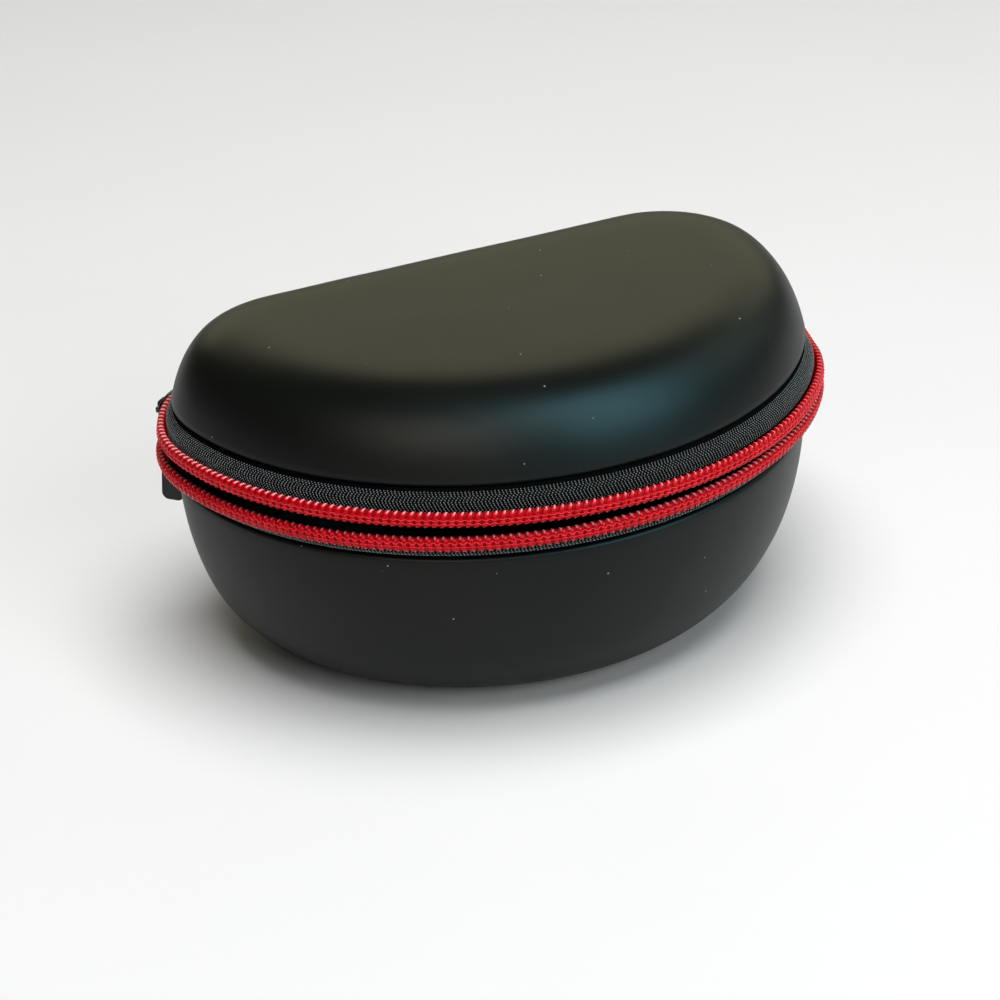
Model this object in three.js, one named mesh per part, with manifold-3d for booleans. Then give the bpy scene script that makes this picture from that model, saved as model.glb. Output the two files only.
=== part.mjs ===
// Hard-shell carrying case for headphones: two moulded foam shells joined by a coil zip that
// stands open, with its slider at the back left corner, and a cloth hinge across the straight back.
// Millimetres, +Z up, the bulging front faces -Y. The origin is the middle of the flat foot.
import * as THREE from 'three';
import { mergeVertices } from 'three/addons/utils/BufferGeometryUtils.js';
import Module from 'manifold-3d';

const wasm = await Module();
wasm.setup();

// Gap between pieces that touch on the real case
const CLEARANCE = 0.3;

// Plan of both rims, one half: a front arc, a side arc and a back corner arc that meet tangent.
// A straight back joins the two corners. A turn is the heading of the outline, 0 at the front.
const FRONT_RADIUS = 103;
const SIDE_RADIUS = 92.8;
const CORNER_RADIUS = 39.9;
const FRONT_TURN = 47.6;
const SIDE_TURN = 35.9;
const BACK_TURN = 180;
// Corner radius that is left round the flat foot and round the flat middle of the lid's top
const CROWN_RADIUS = 4;

// Moulded shells: wall, rounded rim edge, and a rounded profile for each
const SHELL_WALL = 3;
const RIM_ROUND = 0.7;
const LID_RISE = 23.8;
const LID_PROFILE = { draft: 0.2355, edgePower: 4.4, crownPower: 2.57 };
const BASE_DEPTH = 59.1;
const BASE_PROFILE = { draft: 0.048, edgePower: 2.145, crownPower: 2.5 };

// Zip: distance of each shell's rim from its middle plane, woven tapes and rows of coil teeth
const RIM_RISE = 11.1;
const TAPE_THICKNESS = 1.2;
const TAPE_SET_BACK = 1;
const TAPE_OVERLAP = 3.6;
const ROW_STANDOFF = 4.2;
const ROW_HEIGHT = 5.1;
const ROW_DEPTH = 2.8;
const ROW_GAP_OPEN = 3.2;
const ZIP_END_TURN = 168;
// How far the rows stand apart round the front, as shares of the open gap
const ZIP_MOUTH = [
  { turn: -90, open: 1 },
  { turn: -60, open: 0.92 },
  { turn: -30, open: 0.66 },
  { turn: 0, open: 0.31 },
  { turn: 27, open: 0 },
];

// Slider: two plates, the post that parts the rows, and a bridge for the puller
const SLIDER_TURN = -138.5;
const SLIDER_LENGTH = 13.4;
const SLIDER_WIDTH = 9;
const SLIDER_NOSE_WIDTH = 5.6;
const SLIDER_PLATE = 1.2;
const INNER_PLATE_LENGTH = 10;
const INNER_PLATE_WIDTH = 8.4;
const POST_LENGTH = 2.2;
const POST_WIDTH = 1.5;
const POST_PLACE = 3.6;
const BRIDGE_LENGTH = 7.6;
const BRIDGE_WIDTH = 1.6;
const BRIDGE_BAR = 1.2;
const BRIDGE_FOOT = 1.4;

// Puller: an eye round the back end of the bridge, and a grip tab that hangs edge-on to the case
const PULLER_PLACE = 0.8;
const EYE_WIDTH = 2.4;
const EYE_WALL = 0.9;
const EYE_DROP = 11;
const TAB_NECK = 3.6;
const TAB_WIDTH = 7.4;
const TAB_LENGTH = 21.4;
const TAB_THICKNESS = 2;
const TAB_CORNER = 2.2;

// Hinge: a cloth strip between the shells, from one end of the zip to the other
const HINGE_THICKNESS = 1.2;
const HINGE_BULGE = 1.6;

// Fineness of the meshes
const PLAN_STEP_TURN = 6;
const BACK_STEPS = 8;
const OUTER_STEPS = 9;
const INNER_STEPS = 5;
const BAND_STEPS = 4;
const ROW_SIDES = 8;

const BASE_RIM_Z = BASE_DEPTH;
const ZIP_MID_Z = BASE_RIM_Z + RIM_RISE;
const LID_RIM_Z = ZIP_MID_Z + RIM_RISE;

const SHELL_FINISH = { color: 0x1d1d1b, roughness: 0.62, metalness: 0 };
const TAPE_FINISH = { color: 0x17181a, roughness: 0.85, metalness: 0 };
const TEETH_FINISH = { color: 0xd0102c, roughness: 0.35, metalness: 0 };
const SLIDER_FINISH = { color: 0x121212, roughness: 0.4, metalness: 0.6 };
const PULLER_FINISH = { color: 0x1a1a1a, roughness: 0.6, metalness: 0 };

const { degToRad, radToDeg, lerp, clamp } = THREE.MathUtils;

// The arcs of the plan's right half, with the depth centred on y = 0.
function planArcs() {
  const spans = [
    { radius: FRONT_RADIUS, from: 0, to: FRONT_TURN },
    { radius: SIDE_RADIUS, from: FRONT_TURN, to: FRONT_TURN + SIDE_TURN },
    { radius: CORNER_RADIUS, from: FRONT_TURN + SIDE_TURN, to: BACK_TURN },
  ];
  const centre = new THREE.Vector2(0, FRONT_RADIUS);
  let before = FRONT_RADIUS;
  const arcs = spans.map((span) => {
    const shrink = before - span.radius;
    centre.add(outwards(span.from).multiplyScalar(shrink));
    before = span.radius;
    return { ...span, centre: centre.clone() };
  });
  const depth = centre.y + CORNER_RADIUS;
  arcs.forEach((arc) => {
    arc.centre.y -= depth / 2;
  });
  return arcs;
}

// Outward direction of the outline where it heads by this turn.
function outwards(turn) {
  const angle = degToRad(turn);
  return new THREE.Vector2(Math.sin(angle), -Math.cos(angle));
}

const ARCS = planArcs();

// A station of the outline: its turn, its point on the rim and its outward direction.
function stationAt(turn) {
  const size = Math.abs(turn);
  const arc = ARCS.find((each) => size <= each.to) ?? ARCS[ARCS.length - 1];
  const point = arc.centre.clone().add(outwards(size).multiplyScalar(arc.radius));
  point.x *= turn < 0 ? -1 : 1;
  return { turn, point, outward: outwards(turn) };
}

// Stations from one turn to another, at even steps inside each arc.
function stationsBetween(start, end) {
  const breaks = ARCS.flatMap((arc) => [arc.from, arc.to, -arc.from, -arc.to]);
  const inner = breaks.filter((turn) => turn > start && turn < end);
  const knots = [...new Set([start, ...inner, end])].sort((a, b) => a - b);
  const turns = [];
  for (let i = 0; i + 1 < knots.length; i += 1) {
    const steps = Math.ceil((knots[i + 1] - knots[i]) / PLAN_STEP_TURN);
    for (let k = 0; k < steps; k += 1) {
      turns.push(lerp(knots[i], knots[i + 1], k / steps));
    }
  }
  turns.push(end);
  return turns.map(stationAt);
}

// Stations along the straight back, from the right corner to the left one, without the corners.
function backStations() {
  const corner = stationAt(BACK_TURN);
  return Array.from({ length: BACK_STEPS - 1 }, (_, i) => {
    const across = lerp(corner.point.x, -corner.point.x, (i + 1) / BACK_STEPS);
    const point = new THREE.Vector2(across, corner.point.y);
    return { turn: BACK_TURN, point, outward: outwards(BACK_TURN) };
  });
}

const LOOP = [...stationsBetween(-BACK_TURN, BACK_TURN), ...backStations()];

// Profile of a shell at a share of its quarter turn: inset from the rim and rise above it.
function shellPoint(rise, profile, share) {
  const angle = (share * Math.PI) / 2;
  const reach = CORNER_RADIUS - CROWN_RADIUS;
  const height = rise * Math.sin(angle) ** (2 / profile.crownPower);
  const inset = reach * (1 - Math.max(Math.cos(angle), 0) ** (2 / profile.edgePower));
  const drafted = inset + profile.draft * height * (1 - inset / reach);
  return new THREE.Vector2(drafted, height);
}

// The same profile, moved in by the wall along its own normal.
function innerPoint(rise, profile, share) {
  const step = 0.01;
  const before = shellPoint(rise, profile, Math.max(share - step, 0));
  const after = shellPoint(rise, profile, Math.min(share + step, 1));
  const along = after.sub(before).normalize();
  const point = shellPoint(rise, profile, share);
  return new THREE.Vector2(point.x + SHELL_WALL * along.y, point.y - SHELL_WALL * along.x);
}

// The whole section of a shell's wall, from the outer crown over the rim to the inner crown.
function wallSection(rise, profile) {
  const outer = [];
  for (let i = OUTER_STEPS; i > 0; i -= 1) {
    outer.push(shellPoint(rise, profile, i / OUTER_STEPS));
  }
  const rim = [
    new THREE.Vector2(RIM_ROUND * profile.draft, RIM_ROUND),
    new THREE.Vector2(RIM_ROUND, 0),
    new THREE.Vector2(SHELL_WALL - RIM_ROUND, 0),
    new THREE.Vector2(SHELL_WALL, RIM_ROUND),
  ];
  const inner = [];
  for (let i = 1; i <= INNER_STEPS; i += 1) {
    inner.push(innerPoint(rise, profile, i / INNER_STEPS));
  }
  inner[INNER_STEPS - 1].x = outer[0].x;
  return [...outer, ...rim, ...inner];
}

// A closed mesh from rings of equal length. chart gives each cap's points in the cap's plane.
function loft(rings, chart) {
  const count = rings[0].length;
  const positions = rings.flat().flatMap((point) => [point.x, point.y, point.z]);
  const faces = [];
  for (let r = 0; r + 1 < rings.length; r += 1) {
    for (let j = 0; j < count; j += 1) {
      const next = (j + 1) % count;
      const a = r * count + j;
      const b = r * count + next;
      faces.push([a, b, b + count], [a, b + count, a + count]);
    }
  }
  const last = (rings.length - 1) * count;
  capFaces(rings[0], chart).forEach(([a, b, c]) => faces.push([a, c, b]));
  capFaces(rings[rings.length - 1], chart).forEach((face) => {
    faces.push(face.map((index) => index + last));
  });
  const geometry = new THREE.BufferGeometry();
  geometry.setAttribute('position', new THREE.Float32BufferAttribute(positions, 3));
  const outward = signedVolume(rings.flat(), faces) > 0;
  geometry.setIndex(faces.flatMap(([a, b, c]) => (outward ? [a, b, c] : [a, c, b])));
  geometry.computeVertexNormals();
  return geometry;
}

// Triangles that fill a ring, wound the way the ring runs.
function capFaces(ring, chart) {
  const contour = ring.map(chart);
  const forward = THREE.ShapeUtils.area(contour) > 0;
  return THREE.ShapeUtils.triangulateShape(contour, []).map(([a, b, c]) => {
    const agrees = THREE.ShapeUtils.area([contour[a], contour[b], contour[c]]) > 0 === forward;
    return agrees ? [a, b, c] : [a, c, b];
  });
}

function signedVolume(points, faces) {
  const cross = new THREE.Vector3();
  return faces.reduce((sum, [a, b, c]) => {
    cross.crossVectors(points[b], points[c]);
    return sum + points[a].dot(cross) / 6;
  }, 0);
}

// A shell, lofted round the plan. side is 1 for the lid and -1 for the base.
function shellGeometry(rise, profile, rimZ, side) {
  const rings = wallSection(rise, profile).map((place) => LOOP.map(({ point, outward }) => {
    const spot = point.clone().addScaledVector(outward, -place.x);
    return new THREE.Vector3(spot.x, spot.y, rimZ + side * place.y);
  }));
  return loft(rings, (point) => new THREE.Vector2(point.x, point.y));
}

// Share of the open gap between the rows at a turn: the mouth's table, and shut behind the slider.
function openShare(turn) {
  const last = ZIP_MOUTH.length - 1;
  const reach = radToDeg(SLIDER_LENGTH / 2 / (CORNER_RADIUS + ROW_STANDOFF));
  const parted = clamp((turn - SLIDER_TURN + reach) / (2 * reach), 0, 1);
  if (turn <= ZIP_MOUTH[0].turn) {
    return parted;
  }
  if (turn >= ZIP_MOUTH[last].turn) {
    return 0;
  }
  const i = ZIP_MOUTH.findIndex((row) => row.turn > turn);
  const share = (turn - ZIP_MOUTH[i - 1].turn) / (ZIP_MOUTH[i].turn - ZIP_MOUTH[i - 1].turn);
  return Math.min(parted, lerp(ZIP_MOUTH[i - 1].open, ZIP_MOUTH[i].open, share));
}

// Clear gap between the two rows, and height of a row's middle above the zip's middle plane.
function rowGap(turn) {
  return lerp(CLEARANCE, ROW_GAP_OPEN, openShare(turn));
}

function rowCentre(turn) {
  return (ROW_HEIGHT + rowGap(turn)) / 2;
}

// Points at an even distance inside a curve, along the curve's own normals.
function insideCurve(curve, steps, distance) {
  return Array.from({ length: steps + 1 }, (_, i) => {
    const along = curve.getTangent(i / steps);
    const point = curve.getPoint(i / steps);
    return new THREE.Vector2(point.x + distance * along.y, point.y - distance * along.x);
  });
}

// Section of a tape: from under the shell's rim, out and down behind its row of teeth.
function tapeSection(turn) {
  const rim = RIM_RISE - CLEARANCE;
  const face = ROW_STANDOFF - ROW_DEPTH / 2 - CLEARANCE;
  const rowTop = rowCentre(turn) + ROW_HEIGHT / 2;
  const curve = new THREE.CubicBezierCurve(
    new THREE.Vector2(-TAPE_SET_BACK, rim),
    new THREE.Vector2(-TAPE_SET_BACK, lerp(rim, rowTop, 0.3)),
    new THREE.Vector2(face, lerp(rim, rowTop, 0.3)),
    new THREE.Vector2(face, rowTop),
  );
  const foot = rowTop - TAPE_OVERLAP;
  const outer = [...curve.getPoints(BAND_STEPS), new THREE.Vector2(face, foot)];
  const inner = insideCurve(curve, BAND_STEPS, TAPE_THICKNESS);
  inner.push(new THREE.Vector2(face - TAPE_THICKNESS, foot));
  return [...outer, ...inner.reverse()];
}

// Section of a row of teeth: an upright rounded bar.
function rowSection(turn) {
  const centre = rowCentre(turn);
  return Array.from({ length: ROW_SIDES }, (_, i) => {
    const angle = ((i + 0.5) / ROW_SIDES) * 2 * Math.PI;
    const flat = Math.cos(Math.PI / ROW_SIDES);
    const out = (ROW_DEPTH / 2 / flat) * Math.cos(angle);
    const up = (ROW_HEIGHT / 2 / flat) * Math.sin(angle);
    return new THREE.Vector2(ROW_STANDOFF + out, centre + up);
  });
}

// Section of the hinge: a strip that bows outwards between the two rims.
function hingeSection() {
  const rim = RIM_RISE - CLEARANCE;
  const curve = new THREE.CubicBezierCurve(
    new THREE.Vector2(-TAPE_SET_BACK, rim),
    new THREE.Vector2(HINGE_BULGE, rim / 2),
    new THREE.Vector2(HINGE_BULGE, -rim / 2),
    new THREE.Vector2(-TAPE_SET_BACK, -rim),
  );
  const inner = insideCurve(curve, 2 * BAND_STEPS, HINGE_THICKNESS);
  inner[0].set(-TAPE_SET_BACK - HINGE_THICKNESS, rim);
  inner[inner.length - 1].set(-TAPE_SET_BACK - HINGE_THICKNESS, -rim);
  return [...curve.getPoints(2 * BAND_STEPS), ...inner.reverse()];
}

// A strip that keeps its section upright along a run of stations.
function stripGeometry(stations, section, side) {
  const rings = stations.map(({ turn, point, outward }) => section(turn).map((place) => {
    const spot = point.clone().addScaledVector(outward, place.x);
    return new THREE.Vector3(spot.x, spot.y, ZIP_MID_Z + side * place.y);
  }));
  return loft(rings, (point, index) => section(0)[index]);
}

const ZIP_RUN = stationsBetween(-ZIP_END_TURN, ZIP_END_TURN);

// Stations of the hinge: round both corners' ends and along the straight back between them.
function hingeStations() {
  const end = ZIP_END_TURN + radToDeg(CLEARANCE / (CORNER_RADIUS - TAPE_SET_BACK - TAPE_THICKNESS));
  return [
    ...stationsBetween(end, BACK_TURN),
    ...backStations(),
    ...stationsBetween(-BACK_TURN, -end),
  ];
}

function toSolid(geometry) {
  const bare = geometry.clone();
  bare.deleteAttribute('normal');
  bare.deleteAttribute('uv');
  const merged = mergeVertices(bare, 1e-5);
  return new wasm.Manifold(new wasm.Mesh({
    numProp: 3,
    vertProperties: new Float32Array(merged.attributes.position.array),
    triVerts: new Uint32Array(merged.index.array),
  }));
}

function toGeometry(solid) {
  const mesh = solid.getMesh();
  const geometry = new THREE.BufferGeometry();
  geometry.setAttribute('position', new THREE.Float32BufferAttribute(mesh.vertProperties, 3));
  geometry.setIndex(Array.from(mesh.triVerts));
  geometry.computeVertexNormals();
  return geometry;
}

function block(length, depth, height, x, y, z) {
  return toSolid(new THREE.BoxGeometry(length, depth, height).translate(x, y, z));
}

// An outline drawn in X and Z, made a plate from one depth to another along Y.
function uprightPlate(shape, from, to) {
  const geometry = new THREE.ExtrudeGeometry(shape, {
    depth: to - from,
    bevelEnabled: false,
    curveSegments: 5,
  });
  return geometry.rotateX(Math.PI / 2).translate(0, to, 0);
}

// Depths of the slider's two faces: clear of the rows outside, and of the tapes inside,
// which curve away from the straight inner plate towards its ends.
function sliderFaces() {
  const bend = CORNER_RADIUS + ROW_STANDOFF;
  const sag = bend - Math.sqrt(bend ** 2 - (INNER_PLATE_LENGTH / 2) ** 2);
  const tapeInside = ROW_STANDOFF - ROW_DEPTH / 2 - CLEARANCE - TAPE_THICKNESS;
  return {
    outer: ROW_STANDOFF + ROW_DEPTH / 2 + CLEARANCE,
    inner: tapeInside - CLEARANCE - sag,
  };
}

// Outline of the outer plate: a shield with a narrow nose towards the open mouth, which is -X.
function shieldShape() {
  const back = SLIDER_LENGTH / 2;
  const shoulder = SLIDER_WIDTH / 2;
  const nose = SLIDER_NOSE_WIDTH / 2;
  const shape = new THREE.Shape();
  shape.moveTo(-back, -nose / 2);
  shape.quadraticCurveTo(-back, -nose, -back * 0.7, -lerp(nose, shoulder, 0.5));
  shape.quadraticCurveTo(-back * 0.3, -shoulder, 0, -shoulder);
  shape.lineTo(back * 0.8, -shoulder * 0.94);
  shape.quadraticCurveTo(back, -shoulder * 0.92, back, -shoulder * 0.75);
  shape.lineTo(back, shoulder * 0.75);
  shape.quadraticCurveTo(back, shoulder * 0.92, back * 0.8, shoulder * 0.94);
  shape.lineTo(0, shoulder);
  shape.quadraticCurveTo(-back * 0.3, shoulder, -back * 0.7, lerp(nose, shoulder, 0.5));
  shape.quadraticCurveTo(-back, nose, -back, nose / 2);
  return shape;
}

// Height of the bridge's tunnel over the outer plate, and of the middle of its bar.
const TUNNEL = EYE_WALL + 2 * CLEARANCE;
const BAR_Y = sliderFaces().outer + SLIDER_PLATE + TUNNEL + BRIDGE_BAR / 2;

function bridgeSolid(top) {
  const barTop = TUNNEL + BRIDGE_BAR;
  const side = (BRIDGE_LENGTH - BRIDGE_FOOT) / 2;
  const bar = block(BRIDGE_LENGTH, BRIDGE_BAR, BRIDGE_WIDTH, 0, top + barTop - BRIDGE_BAR / 2, 0);
  const sunk = SLIDER_PLATE / 2;
  const foot = (x) => {
    const middle = top + (barTop - sunk) / 2;
    return block(BRIDGE_FOOT, barTop + sunk, BRIDGE_WIDTH, x, middle, 0);
  };
  return bar.add(foot(-side)).add(foot(side));
}

function sliderGeometry() {
  const { outer, inner } = sliderFaces();
  const top = outer + SLIDER_PLATE;
  const front = toSolid(uprightPlate(shieldShape(), outer, top));
  const innerMiddle = inner - SLIDER_PLATE / 2;
  const behind = block(INNER_PLATE_LENGTH, SLIDER_PLATE, INNER_PLATE_WIDTH, 0, innerMiddle, 0);
  const postDepth = outer - inner + SLIDER_PLATE;
  const post = block(POST_LENGTH, postDepth, POST_WIDTH, -POST_PLACE, (outer + inner) / 2, 0);
  return toGeometry(front.add(behind).add(post).add(bridgeSolid(top)));
}

// An outline drawn in depth and height, made a plate across the bridge's middle.
function crossPlate(shape, thickness) {
  const geometry = new THREE.ExtrudeGeometry(shape, {
    depth: thickness,
    bevelEnabled: false,
    curveSegments: 6,
  });
  const turned = new THREE.Matrix4().makeBasis(
    new THREE.Vector3(0, 1, 0),
    new THREE.Vector3(0, 0, 1),
    new THREE.Vector3(1, 0, 0),
  );
  return geometry.translate(0, 0, -thickness / 2).applyMatrix4(turned);
}

// The eye: an oblong loop that hangs on the bridge's bar.
function eyeGeometry() {
  const half = BRIDGE_BAR / 2 + CLEARANCE;
  const top = BRIDGE_WIDTH / 2 + CLEARANCE - half;
  const bottom = top - EYE_DROP;
  const outer = half + EYE_WALL;
  const shape = new THREE.Shape();
  shape.absarc(0, top, outer, 0, Math.PI, false);
  shape.absarc(0, bottom, outer, Math.PI, 2 * Math.PI, false);
  const hole = new THREE.Path();
  hole.absarc(0, top, half, Math.PI, 0, true);
  hole.absarc(0, bottom + EYE_WALL, half, 2 * Math.PI, Math.PI, true);
  shape.holes.push(hole);
  return crossPlate(shape, EYE_WIDTH);
}

// The grip tab: a plate in the eye's own plane, which widens downwards to two rounded corners.
function tabGeometry() {
  const half = TAB_WIDTH / 2;
  const neck = TAB_NECK / 2;
  const foot = TAB_CORNER - TAB_LENGTH;
  const shape = new THREE.Shape();
  shape.moveTo(-neck, 0);
  shape.lineTo(-half, foot);
  shape.absarc(TAB_CORNER - half, foot, TAB_CORNER, Math.PI, 1.5 * Math.PI, false);
  shape.absarc(half - TAB_CORNER, foot, TAB_CORNER, 1.5 * Math.PI, 2 * Math.PI, false);
  shape.lineTo(neck, 0);
  return crossPlate(shape, TAB_THICKNESS).translate(0, 0, -EYE_DROP);
}

function pullerGeometry() {
  const joined = toSolid(eyeGeometry()).add(toSolid(tabGeometry()));
  return toGeometry(joined).translate(PULLER_PLACE, BAR_Y, 0);
}

function piece(name, geometry, finish) {
  const mesh = new THREE.Mesh(geometry, new THREE.MeshStandardMaterial(finish));
  mesh.name = name;
  return mesh;
}

function shells() {
  const group = new THREE.Group();
  const lid = shellGeometry(LID_RISE, LID_PROFILE, LID_RIM_Z, 1);
  const base = shellGeometry(BASE_DEPTH, BASE_PROFILE, BASE_RIM_Z, -1);
  group.add(piece('lid_shell', lid, SHELL_FINISH), piece('base_shell', base, SHELL_FINISH));
  return group;
}

function zip() {
  const group = new THREE.Group();
  [['lid', 1], ['base', -1]].forEach(([owner, side]) => {
    const tape = stripGeometry(ZIP_RUN, tapeSection, side);
    const row = stripGeometry(ZIP_RUN, rowSection, side);
    group.add(piece(`${owner}_zip_tape`, tape, TAPE_FINISH));
    group.add(piece(`${owner}_zip_coil`, row, TEETH_FINISH));
  });
  group.add(piece('back_hinge', stripGeometry(hingeStations(), hingeSection, 1), TAPE_FINISH));
  return group;
}

// The slider and its puller, drawn with the zip along X and outwards along Y.
function sliderGroup() {
  const group = new THREE.Group();
  const { point } = stationAt(SLIDER_TURN);
  group.position.set(point.x, point.y, ZIP_MID_Z);
  group.rotation.z = degToRad(SLIDER_TURN + BACK_TURN);
  group.add(piece('zip_slider', sliderGeometry(), SLIDER_FINISH));
  group.add(piece('zip_puller', pullerGeometry(), PULLER_FINISH));
  return group;
}

const headphoneCase = new THREE.Group();
headphoneCase.add(shells(), zip(), sliderGroup());

export default headphoneCase;
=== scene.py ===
"""Hard-shell headphone case: its finished surfaces, zip teeth, weave, camera and light.

The moulded shells, woven tapes, coil rows, slider, puller and cloth hinge are modelled around
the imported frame, in metres, and each one replaces the plain solid that it stands for.
"""

import logging
import math
from dataclasses import dataclass
from enum import Enum
from typing import Sequence

import bmesh
import bpy
import numpy as np
from bpy.types import ID, Material, Mesh, NodeSocket, NodeTree, Object
from mathutils import Matrix, Vector, noise


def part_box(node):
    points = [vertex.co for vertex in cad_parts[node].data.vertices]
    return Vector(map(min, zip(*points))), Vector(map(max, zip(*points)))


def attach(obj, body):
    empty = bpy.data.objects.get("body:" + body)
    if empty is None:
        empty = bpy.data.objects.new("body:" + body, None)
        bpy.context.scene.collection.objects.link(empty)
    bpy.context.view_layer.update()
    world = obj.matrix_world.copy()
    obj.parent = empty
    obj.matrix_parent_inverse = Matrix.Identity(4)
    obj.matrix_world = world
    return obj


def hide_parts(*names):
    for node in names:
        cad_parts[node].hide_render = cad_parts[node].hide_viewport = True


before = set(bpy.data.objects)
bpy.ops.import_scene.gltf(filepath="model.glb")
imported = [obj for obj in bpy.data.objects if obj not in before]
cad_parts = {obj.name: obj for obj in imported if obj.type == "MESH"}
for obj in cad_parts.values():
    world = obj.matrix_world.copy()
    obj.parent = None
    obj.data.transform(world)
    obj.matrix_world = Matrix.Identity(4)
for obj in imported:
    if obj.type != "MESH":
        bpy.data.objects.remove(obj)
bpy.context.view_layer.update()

MM = 0.001
BODY = "root"
# Point attribute that marks where the coil's bends get a pale pink painted highlight.
PAINTED_HIGHLIGHT = "strain"
PATH_DATA = {"along": "FLOAT_VECTOR", "outward": "FLOAT_VECTOR", "slant": "FLOAT"}
LOG = logging.getLogger("headphone_case")

Array = np.ndarray
Line = dict[str, np.ndarray]
Pair = tuple[float, float]
Floats = tuple[float, ...]


class Side(Enum):
    """The two halves of the case, with the direction from the zip's middle to the half."""

    LID = 1
    BASE = -1

    @property
    def word(self) -> str:
        """The half's name in the names of its nodes."""
        return self.name.lower()


def right_of(tangents: Array) -> Array:
    """The directions a quarter turn clockwise from these."""
    return np.stack([tangents[:, 1], -tangents[:, 0]], axis=1)


def lengths_along(points: Array) -> Array:
    """Distance of each point from the first, along their line."""
    steps = np.linalg.norm(np.diff(points, axis=0), axis=1)
    return np.concatenate([[0.0], np.cumsum(steps)])


@dataclass(frozen=True)
class RimPlan:
    """Plan of both rims: three tangent arcs a side and a straight back, in mm and degrees."""

    front_radius: float = 103.0
    side_radius: float = 92.8
    corner_radius: float = 39.9
    front_turn: float = 47.6
    side_turn: float = 35.9
    crown_radius: float = 4.0
    spacing: float = 2.0
    smoothing: float = 5.0
    arc_steps: int = 200
    straight_steps: int = 100

    def half(self) -> Array:
        """Points of the right half, from the front middle to the back middle.

        Returns:
            An array of x and y, closely and unevenly spaced.
        """
        turns = [0.0, self.front_turn, self.front_turn + self.side_turn, 180.0]
        radii = [self.front_radius, self.side_radius, self.corner_radius]
        centre = np.array([0.0, self.front_radius])
        before = self.front_radius
        runs = []
        for radius, start, end in zip(radii, turns[:-1], turns[1:]):
            centre = centre + (before - radius) * self.outwards(start)
            before = radius
            angles = np.linspace(start, end, self.arc_steps)[:-1]
            runs.append(centre + radius * self.outwards(angles))
        back = centre + radii[-1] * self.outwards(180.0)
        straight = np.linspace(back, [0.0, back[1]], self.straight_steps)
        points = np.vstack([*runs, straight])
        points[:, 1] -= back[1] / 2
        return points

    @staticmethod
    def outwards(turn: float | Array) -> Array:
        """Outward direction of the outline where it heads by this turn."""
        angle = np.radians(turn)
        return np.stack([np.sin(angle), -np.cos(angle)], axis=-1)

    def loop(self) -> tuple[Array, Array]:
        """The closed outline at even spacing, with the arcs' joints eased.

        Returns:
            The points and the outward directions, starting at the back middle.
        """
        half = self.half()
        mirrored = half[::-1] * np.array([-1.0, 1.0])
        closed = np.vstack([mirrored, half[1:]])
        along = lengths_along(closed)
        count = round(along[-1] / self.spacing)
        places = np.linspace(0.0, along[-1], count, endpoint=False)
        points = np.stack([np.interp(places, along, closed[:, k]) for k in (0, 1)], axis=1)
        blurred = self.blur(points)
        points = blurred + self.blur(points - blurred)
        tangents = np.roll(points, -1, axis=0) - np.roll(points, 1, axis=0)
        tangents /= np.linalg.norm(tangents, axis=1)[:, None]
        return points, right_of(tangents)

    def blur(self, points: Array) -> Array:
        """The closed line of points, blurred by the smoothing length."""
        waves = np.fft.fftfreq(len(points), self.spacing) * 2 * np.pi
        fade = np.exp(-0.5 * (waves * self.smoothing) ** 2)
        return np.fft.ifft(np.fft.fft(points, axis=0) * fade[:, None], axis=0).real


PLAN = RimPlan()
LOOP_POINTS, LOOP_OUTWARD = PLAN.loop()
LOOP_TURNS = np.degrees(np.arctan2(LOOP_OUTWARD[:, 0], -LOOP_OUTWARD[:, 1]))


@dataclass(frozen=True)
class Profile:
    """Rounded profile of one shell, from its rim to its crown. Millimetres."""

    rise: float
    draft: float
    edge_power: float
    crown_power: float
    reach: float = PLAN.corner_radius - PLAN.crown_radius

    def at(self, share: Array) -> Array:
        """Inset from the rim and rise above it.

        Args:
            share: Shares of the profile's quarter turn, 0 at the rim and 1 at the crown.

        Returns:
            One row of inset and rise for each share.
        """
        angle = np.asarray(share) * np.pi / 2
        rise = self.rise * np.sin(angle) ** (2 / self.crown_power)
        inset = self.reach * (1 - np.maximum(np.cos(angle), 0) ** (2 / self.edge_power))
        inset = inset + self.draft * rise * (1 - inset / self.reach)
        return np.stack([inset, rise], axis=-1)

    def moved_in(self, share: Array, wall: float) -> Array:
        """The same profile moved in by the wall, along its own normal."""
        step = 0.004
        along = self.at(np.minimum(share + step, 1)) - self.at(np.maximum(share - step, 0))
        along /= np.linalg.norm(along, axis=1)[:, None]
        return self.at(share) + wall * right_of(along)


@dataclass(frozen=True)
class ZipSizes:
    """Sizes of the zip between the two rims. Millimetres and degrees."""

    rim_rise: float = 11.1
    clearance: float = 0.3
    tape_thickness: float = 1.2
    tape_set_back: float = 1.0
    tape_overlap: float = 3.6
    row_standoff: float = 4.2
    row_height: float = 5.1
    row_depth: float = 2.8
    gap_open: float = 3.2
    end_turn: float = 168.0
    slider_turn: float = -138.5
    slider_length: float = 13.4
    mouth_turns: Floats = (-90.0, -60.0, -30.0, 0.0, 27.0)
    mouth_shares: Floats = (1.0, 0.92, 0.66, 0.31, 0.0)

    def gap(self, turn: Array) -> Array:
        """Clear gap between the rows of teeth where the outline heads by these turns."""
        reach = np.degrees(self.slider_length / 2 / (PLAN.corner_radius + self.row_standoff))
        parted = np.clip((turn - self.slider_turn + reach) / (2 * reach), 0, 1)
        mouth = np.interp(turn, self.mouth_turns, self.mouth_shares)
        share = np.minimum(parted, mouth)
        return self.clearance + share * (self.gap_open - self.clearance)

    def row_centre(self, turn: Array) -> Array:
        """Height of a row's middle above the zip's middle plane."""
        return (self.row_height + self.gap(turn)) / 2


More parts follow.
